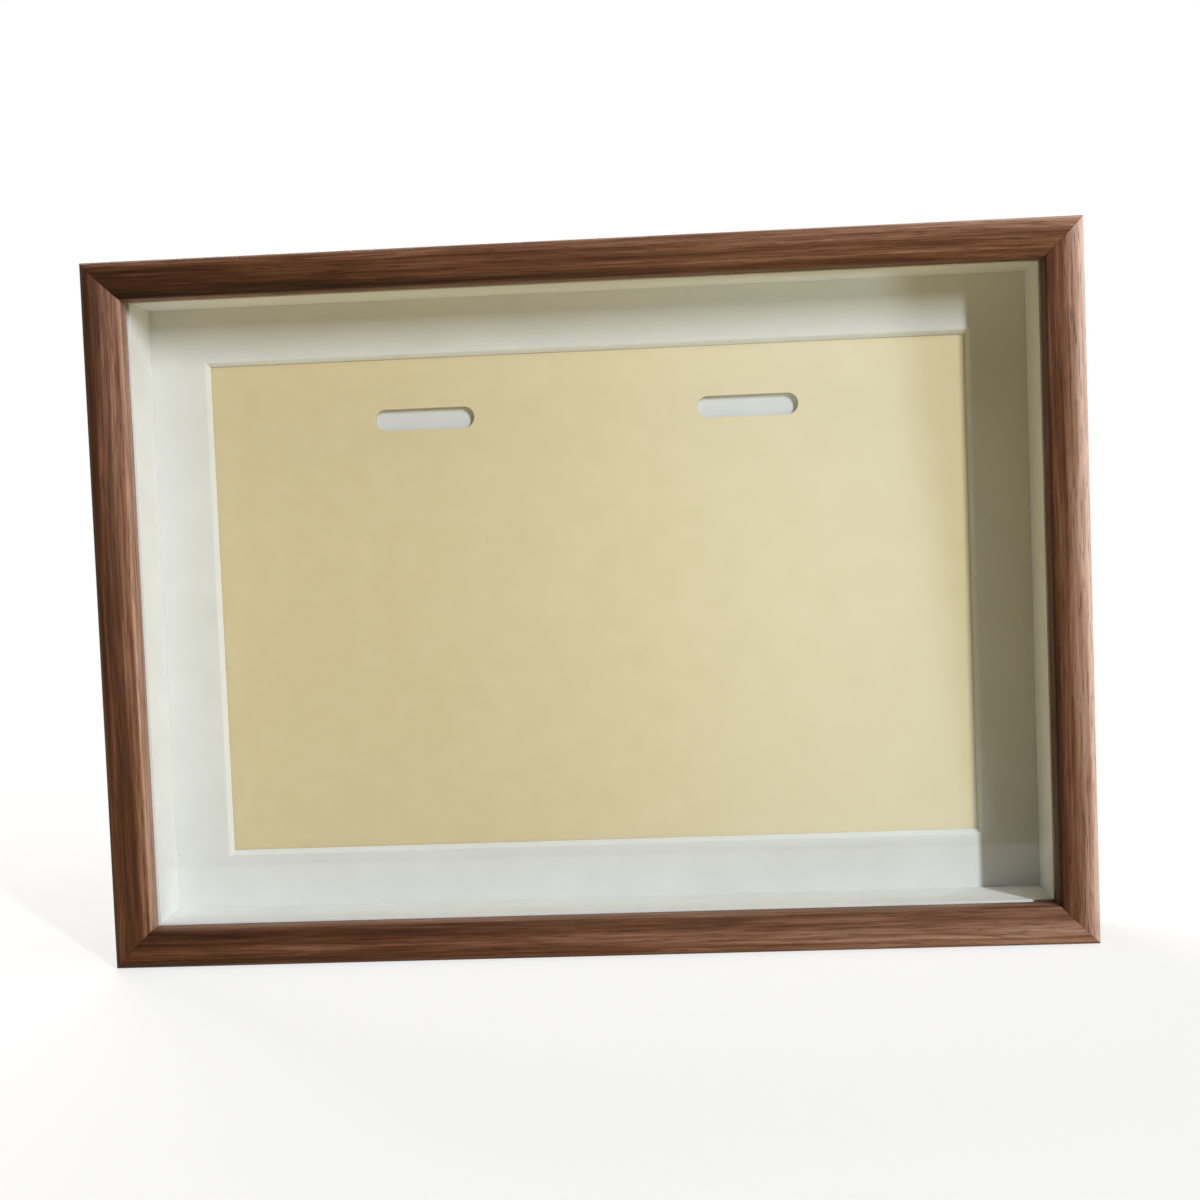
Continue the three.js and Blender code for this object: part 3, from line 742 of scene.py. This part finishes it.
for body, pivot in pivots.items():
    makeTurnButton(body, pivot)
print("turn buttons stamped:", len(pivots))

# Sawtooth hangers: the middle is raised off the panel, with teeth along its lower edge
hanger = {
    "length": 46.0, "height": 11.0, "thickness": 1.0, "ear": 7.0, "ramp": 3.0, "rampSteps": 8, "rise": 2.5,
    "teeth": 10, "toothPitch": 2.2, "toothDepth": 1.4, "holeRadius": 1.1, "holeCorners": 24,
    "cornerRadius": 1.2, "cornerSteps": 6, "easedEdge": 0.14,
}


def makeHanger(name, turn):
    h = hanger
    half, foot = h["length"] / 2, h["length"] / 2 - h["ear"]
    low = -h["height"] / 2
    first = -h["teeth"] * h["toothPitch"] / 2
    r, corner = h["cornerRadius"], h["cornerSteps"]
    outline = arcPoints((-half + r, low + r), r, 2 * quarterTurn, 3 * quarterTurn, corner)
    for tooth in range(h["teeth"]):
        x = first + tooth * h["toothPitch"]
        outline += [(x, low), (x + h["toothPitch"] / 2, low + h["toothDepth"])]
    outline.append((-first, low))
    outline += arcPoints((half - r, low + r), r, 3 * quarterTurn, fullTurn, corner)
    outline += arcPoints((half - r, -low - r), r, 0, quarterTurn, corner)
    outline += arcPoints((-half + r, -low - r), r, quarterTurn, 2 * quarterTurn, corner)
    holes = [roundHole(end * (half - h["ear"] / 2), h["holeRadius"], h["holeCorners"]) for end in (-1, 1)]
    plate = stampedSheet(name + "Hanger", [outline] + holes, h["thickness"], h["easedEdge"])
    steps = [foot - h["ramp"] * i / h["rampSteps"] for i in range(h["rampSteps"] + 1)]
    bendStrip(plate, [-x for x in steps] + steps,
              lambda x: h["rise"] * (1 - smoothStep(abs(x), foot - h["ramp"], foot)))
    seat = nodeMiddle(name + "_hanger")
    seat.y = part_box(name + "_hanger")[0].y + h["thickness"] * mm / 2
    plate.data.transform(Matrix.Translation(seat) @ Matrix.Rotation(turn, 4, "Y"))
    finishPiece(plate, "back_pack", [name + "_hanger"], zincSteel)


makeHanger("wide", 0.0)
makeHanger("tall", -quarterTurn)
print("hangers stamped")


# A shape turned about the Y axis from an outline of radius and depth in mm
def turnedObject(name, outline, turns):
    work = bmesh.new()
    corners = [work.verts.new((radius * mm, depth * mm, 0)) for radius, depth in outline]
    edges = [work.edges.new(pair) for pair in zip(corners, corners[1:])]
    bmesh.ops.spin(work, geom=corners + edges, axis=(0, 1, 0), cent=(0, 0, 0), steps=turns, angle=fullTurn)
    bmesh.ops.remove_doubles(work, verts=work.verts, dist=hairGap)
    bmesh.ops.recalc_face_normals(work, faces=work.faces)
    return newObject(name, meshFrom(work, name))


# Puts a copy of a fixing on each point, spun by chance about the Y axis
def fixingTree():
    tree, given = newTree("fixingCopies", {
        "Fixing": "NodeSocketObject", "Seed": "NodeSocketInt", "Finish": "NodeSocketMaterial"})
    fixing = addNode(tree, "GeometryNodeObjectInfo", {"Object": given["Fixing"]}).outputs["Geometry"]
    least, most, number = 2, 3, 1  # sockets of the random value node that hold plain numbers
    spin = addNode(tree, "FunctionNodeRandomValue", {
        least: 0.0, most: fullTurn, "Seed": given["Seed"]}, data_type="FLOAT").outputs[number]
    turn = addNode(tree, "ShaderNodeCombineXYZ", {"Y": spin}).outputs[0]
    copies = addNode(tree, "GeometryNodeInstanceOnPoints", {
        "Points": given["Geometry"], "Instance": fixing, "Rotation": turn}).outputs[0]
    real = addNode(tree, "GeometryNodeRealizeInstances", {"Geometry": copies}).outputs[0]
    done = addNode(tree, "GeometryNodeSetMaterial", {"Geometry": real, "Material": given["Finish"]})
    addNode(tree, "NodeGroupOutput", {0: done.outputs[0]})
    return tree


fixingCopies = fixingTree()
fixingSharpAngle = 35


def placeFixings(name, fixing, points, seed, finish, body, replaced):
    mesh = bpy.data.meshes.new(name + "Points")
    mesh.from_pydata(points, [], [])
    holder = newObject(name + "Points", mesh)
    useTree(holder, fixingCopies, {"Fixing": fixing, "Seed": seed, "Finish": finish})
    placed = plainMesh(holder, name, fixingSharpAngle)
    bpy.data.objects.remove(fixing)
    finishPiece(placed, body, replaced)


def domeOutline(radius, height, steps):
    angles = [quarterTurn * i / steps for i in range(steps)]
    return [(radius * math.cos(a), height * math.sin(a)) for a in angles] + [(0, height)]


# Pan-head screws with a cut thread and a cross recess that tapers: the shares are of its reach and width, at
# its bottom and at its open end above the head
buttonScrew = {
    "headRadius": 2.5, "headHeight": 1.5, "headSteps": 10, "shankRadius": 1.1, "coreRadius": 0.85,
    "length": 11.0, "point": 3.0, "turns": 24, "threadPitch": 0.9, "threadTop": 1.6, "ringsPerPitch": 6,
    "recessReach": 1.45, "recessWidth": 0.5, "recessDepth": 0.95, "recessAbove": 0.4,
    "bottomShares": (0.45, 0.7), "openShares": (1.25, 1.1), "seed": 4,
}


def makeScrew():
    s = buttonScrew
    rings = int(s["length"] / s["threadPitch"] * s["ringsPerPitch"])
    outline = [(0, -s["length"])]
    for i in range(1, rings + 1):
        depth = -s["length"] * (1 - i / rings)
        outline.append((s["shankRadius"] * min(1.0, (depth + s["length"]) / s["point"]), depth))
    outline += domeOutline(s["headRadius"], s["headHeight"], s["headSteps"])
    screw = turnedObject("screwBlank", outline, s["turns"])
    for vertex in screw.data.vertices:  # thread, deepest half way between crests
        x, y, z = (c / mm for c in vertex.co)
        if -s["length"] < y < -s["threadTop"] and math.hypot(x, z) > 0:
            phase = (y / s["threadPitch"] + math.atan2(z, x) / fullTurn) % 1
            depth = (s["shankRadius"] - s["coreRadius"]) * (1 - abs(2 * phase - 1))
            shrink = 1 - depth / s["shankRadius"]
            vertex.co.x *= shrink
            vertex.co.z *= shrink
    work = bmesh.new()
    for turn in (0, quarterTurn):  # two tapered blades make the cross
        made = bmesh.ops.create_cube(work, size=1.0)["verts"]
        for vertex in made:
            deep = vertex.co.y < 0
            reachShare, widthShare = s["bottomShares"] if deep else s["openShares"]
            vertex.co.x *= 2 * s["recessReach"] * reachShare
            vertex.co.z *= s["recessWidth"] * widthShare
            vertex.co.y = s["headHeight"] + (-s["recessDepth"] if deep else s["recessAbove"])
        bmesh.ops.rotate(work, verts=made, cent=(0, 0, 0), matrix=Matrix.Rotation(turn, 3, "Y"))
    bmesh.ops.scale(work, vec=(mm, mm, mm), verts=work.verts)
    bmesh.ops.recalc_face_normals(work, faces=work.faces)
    blades = newObject("crossBlades", meshFrom(work, "crossBlades"))
    cutAway(screw, blades, crossed=True)
    cutScrew = plainMesh(screw, "crossHeadScrew")
    bpy.data.objects.remove(blades)
    return cutScrew


screwNodes = [body.replace("turn_button", "button_screw") for body in pivots]
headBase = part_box(screwNodes[0])[1].y - buttonScrew["headHeight"] * mm
screwPlaces = [(pivot.x, headBase, pivot.z) for pivot in pivots.values()]
placeFixings("buttonScrews", makeScrew(), screwPlaces, buttonScrew["seed"], zincSteel, "frame",
             screwNodes)

# Hanger nails, their heads pressed down on the ears
hangerNail = {"headRadius": 2.0, "headHeight": 1.0, "headSteps": 8, "shankRadius": 0.8, "length": 3.8,
              "turns": 24, "seed": 9}


def makeNail():
    n = hangerNail
    outline = [(0, -n["length"]), (n["shankRadius"], -n["length"]), (n["shankRadius"], 0)]
    outline += domeOutline(n["headRadius"], n["headHeight"], n["headSteps"])
    return turnedObject("hangerNail", outline, n["turns"])


nailNodes = ["%s_hanger_nail_%d" % (which, i) for which in ("wide", "tall") for i in (1, 2)]
nailPlaces = []
for node in nailNodes:
    middle = nodeMiddle(node)
    nailPlaces.append((middle.x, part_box(node)[1].y - hangerNail["headHeight"] * mm, middle.z))
placeFixings("hangerNails", makeNail(), nailPlaces, hangerNail["seed"], zincSteel, "back_pack",
             nailNodes)

# Bumper pads, moulded with a rounded rim and a shallow dish
bumperPad = {"radius": 3.1, "height": 4.0, "rim": 0.6, "rimSteps": 8, "dishRadius": 1.5, "dishDepth": 0.25,
             "dishSteps": 6, "turns": 32, "seed": 2}


def makePad():
    b = bumperPad
    rim = b["rim"]
    outline = [(0, 0), (b["radius"], 0)]
    outline += arcPoints((b["radius"] - rim, b["height"] - rim), rim, 0, quarterTurn, b["rimSteps"])
    for i in range(b["dishSteps"] + 1):
        inwards = i / b["dishSteps"]
        sunk = b["dishDepth"] * smoothStep(inwards, 0, 1)
        outline.append((b["dishRadius"] * (1 - inwards), b["height"] - sunk))
    return turnedObject("bumperPad", outline, b["turns"])


padNodes = ["bumper_pad_%s_%s" % (up, across) for up in ("bottom", "top") for across in ("left", "right")]
padPlaces = []
for node in padNodes:
    middle = nodeMiddle(node)
    padPlaces.append((middle.x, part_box(node)[0].y, middle.z))
placeFixings("bumperPads", makePad(), padPlaces, bumperPad["seed"], dressings["mouldedRubber"], "frame",
             padNodes)
print("fixings placed")

# Floor: pale, seen by the camera almost as white as the background, with the shadow kept.
# The light it bounces on to the box is warm. Sizes are in metres
floor = {"size": 6.0, "colour": "#f4f3f0", "warmBounce": "#e0cea2", "whiteShare": 0.7, "fadeStart": 0.2,
         "fadeEnd": 0.75}
world = {"fill": 0.03, "fillColour": "#f6cf86"}
plainWhite = {"Color": linear("#ffffff"), "Strength": 1.0}


# True for rays that show the background: straight from the camera, or by a reflection or through glass
def showsBackground(tree):
    rays = addNode(tree, "ShaderNodeLightPath").outputs
    some = addNode(tree, "ShaderNodeMath", {
        0: rays["Is Camera Ray"], 1: rays["Is Glossy Ray"]}, operation="MAXIMUM").outputs[0]
    return addNode(tree, "ShaderNodeMath", {
        0: some, 1: rays["Is Transmission Ray"]}, operation="MAXIMUM").outputs[0]


def makeStage():
    work = bmesh.new()
    bmesh.ops.create_grid(work, x_segments=1, y_segments=1, size=floor["size"] / 2)
    ground = newObject("floor", meshFrom(work, "floor"))
    ground.data.transform(Matrix.Translation((0, 0, cadBox[0].z)))
    material, tree = newMaterial("paleFloor")
    place = addNode(tree, "ShaderNodeTexCoord").outputs["Object"]
    away = addNode(tree, "ShaderNodeVectorMath", {0: place}, operation="LENGTH").outputs["Value"]
    fade = addNode(tree, "ShaderNodeMapRange", {
        "Value": away, "From Min": floor["fadeStart"], "From Max": floor["fadeEnd"],
        "To Min": floor["whiteShare"], "To Max": 1.0}, interpolation_type="SMOOTHSTEP").outputs[0]
    seen = showsBackground(tree)
    share = addNode(tree, "ShaderNodeMath", {0: seen, 1: fade}, operation="MULTIPLY").outputs[0]
    tone = addNode(tree, "ShaderNodeMix", {
        mixFactor: seen, mixFirst: linear(floor["warmBounce"]), mixSecond: linear(floor["colour"])},
        data_type="RGBA")
    matt = addNode(tree, "ShaderNodeBsdfDiffuse", {"Color": tone.outputs[mixResult]}).outputs[0]
    white = addNode(tree, "ShaderNodeEmission", plainWhite).outputs[0]
    mixed = addNode(tree, "ShaderNodeMixShader", {0: share, 1: matt, 2: white})
    addNode(tree, "ShaderNodeOutputMaterial", {"Surface": mixed.outputs[0]})
    dress(ground, material)

    sky = bpy.data.worlds.new("studio")
    sky.use_nodes = True
    tree = sky.node_tree
    tree.nodes.clear()
    fill = addNode(tree, "ShaderNodeBackground", {
        "Color": linear(world["fillColour"]), "Strength": world["fill"]}).outputs[0]
    white = addNode(tree, "ShaderNodeBackground", plainWhite).outputs[0]
    mixed = addNode(tree, "ShaderNodeMixShader", {0: showsBackground(tree), 1: fill, 2: white})
    addNode(tree, "ShaderNodeOutputWorld", {"Surface": mixed.outputs[0]})
    scene.world = sky


makeStage()

# A dim card in front with a bright patch like a window, seen only by reflection: it gives the glass its soft
# veil and keeps the front of the lacquer deep. Levels are red, green and blue along the card, and sizes in mm
reflectedCard = {
    "distance": 138.0, "halfWidth": 420.0, "foot": 1.0, "height": 460.0, "lean": 0.126,
    "levels": ((-420, (0.3, 0.3, 0.3)), (-60, (0.5, 0.5, 0.5)), (20, (1.15, 1.2, 1.25)),
               (100, (2.0, 2.35, 2.4)), (140, (2.1, 2.45, 2.5)), (156, (0.04, 0.04, 0.04)),
               (250, (0.04, 0.04, 0.04)), (420, (0.3, 0.3, 0.3))),
    "lowest": 1.0, "full": 8.0, "dim": 0.3,
}


def makeReflectedCard():
    c = reflectedCard
    half, y = c["halfWidth"] * mm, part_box("glazing")[0].y - c["distance"] * mm
    foot, top = c["foot"] * mm, c["height"] * mm
    work = bmesh.new()
    corners = ((-half, foot), (half, foot), (half, top), (-half, top))
    work.faces.new([work.verts.new((x, y, z)) for x, z in corners])
    card = newObject("reflectedCard", meshFrom(work, "reflectedCard"))
    material, tree = newMaterial("reflectedCard")
    place = addNode(tree, "ShaderNodeTexCoord").outputs["Object"]
    parts = addNode(tree, "ShaderNodeSeparateXYZ", {0: place}).outputs
    leaning = addNode(tree, "ShaderNodeMath", {
        0: parts["Z"], 1: c["lean"], 2: parts["X"]}, operation="MULTIPLY_ADD").outputs[0]
    along = addNode(tree, "ShaderNodeMapRange", {
        "Value": leaning, "From Min": -half, "From Max": half}).outputs[0]
    brightest = max(max(level) for at, level in c["levels"])
    stops = [((at / c["halfWidth"] + 1) / 2, tuple(part / brightest for part in level) + (1,))
             for at, level in c["levels"]]
    glow = addNode(tree, "ShaderNodeValToRGB", {"Fac": along}, stops=stops).outputs["Color"]
    up = addNode(tree, "ShaderNodeMapRange", {
        "Value": parts["Z"], "From Min": c["lowest"] * mm, "From Max": c["full"] * mm},
        interpolation_type="SMOOTHSTEP").outputs[0]
    level = addNode(tree, "ShaderNodeMix", {
        mixFactor: up, mixFirst: (c["dim"] / brightest,) * 3 + (1,), mixSecond: glow}, data_type="RGBA")
    light = addNode(tree, "ShaderNodeEmission", {"Color": level.outputs[mixResult], "Strength": brightest})
    addNode(tree, "ShaderNodeOutputMaterial", {"Surface": light.outputs[0]})
    dress(card, material)
    card.visible_camera = card.visible_diffuse = card.visible_transmission = card.visible_shadow = False


makeReflectedCard()

# Lamps aim at the middle of the front: azimuth to its right and elevation in degrees, sizes in metres
lamps = {
    "keyStrip": {"azimuth": 35.3, "elevation": 20.2, "distance": 4.5, "width": 0.184, "height": 1.6,
                 "power": 204.0, "colour": "#f1f5ff"},
    "skyWindow": {"azimuth": 38.0, "elevation": 62.0, "distance": 1.6, "width": 0.6, "height": 0.6,
                  "power": 6.0, "colour": "#fbfcff"},
    "sideWindow": {"azimuth": 92.0, "elevation": 14.0, "distance": 1.2, "width": 0.5, "height": 0.7,
                   "power": 6.0, "colour": "#fffdfb"},
    "backWindow": {"azimuth": 205.0, "elevation": 38.0, "distance": 1.4, "width": 1.0, "height": 0.8,
                   "power": 22.0, "colour": "#fffaf2"},
}


def makeLamp(name, lamp):
    azimuth, elevation = math.radians(lamp["azimuth"]), math.radians(lamp["elevation"])
    level = math.cos(elevation)
    towards = Vector((math.sin(azimuth) * level, -math.cos(azimuth) * level, math.sin(elevation)))
    data = bpy.data.lights.new(name, "AREA")
    data.shape = "RECTANGLE"
    data.size, data.size_y = lamp["width"], lamp["height"]
    data.energy = lamp["power"]
    data.color = linear(lamp["colour"])[:3]
    obj = newObject(name, data)
    obj.visible_camera = False
    facing = (-towards).to_track_quat("-Z", "Y").to_matrix().to_4x4()
    place = Vector((0, frontY, middleZ)) + towards * lamp["distance"]
    obj.matrix_world = Matrix.Translation(place) @ facing


for name, lamp in lamps.items():
    makeLamp(name, lamp)

# Camera where the photograph was taken from, in mm, with a small tilt in degrees; clip is in metres
camera = {"place": (28.75, -516.88, 136.59), "aim": (3.59, -12.7, 112.51), "tilt": -2.236, "lens": 47.758,
          "sensor": 36.0, "clip": (0.01, 50.0)}


def makeCamera():
    place, aim = (Vector(camera[key]) * mm for key in ("place", "aim"))
    data = bpy.data.cameras.new("camera")
    data.lens, data.sensor_width = camera["lens"], camera["sensor"]
    data.clip_start, data.clip_end = camera["clip"]
    obj = newObject("camera", data)
    look = (aim - place).to_track_quat("-Z", "Y").to_matrix().to_4x4()
    tilt = Matrix.Rotation(math.radians(camera["tilt"]), 4, "Z")
    obj.matrix_world = Matrix.Translation(place) @ look @ tilt
    scene.camera = obj


makeCamera()
print("stage, lamps and camera set")
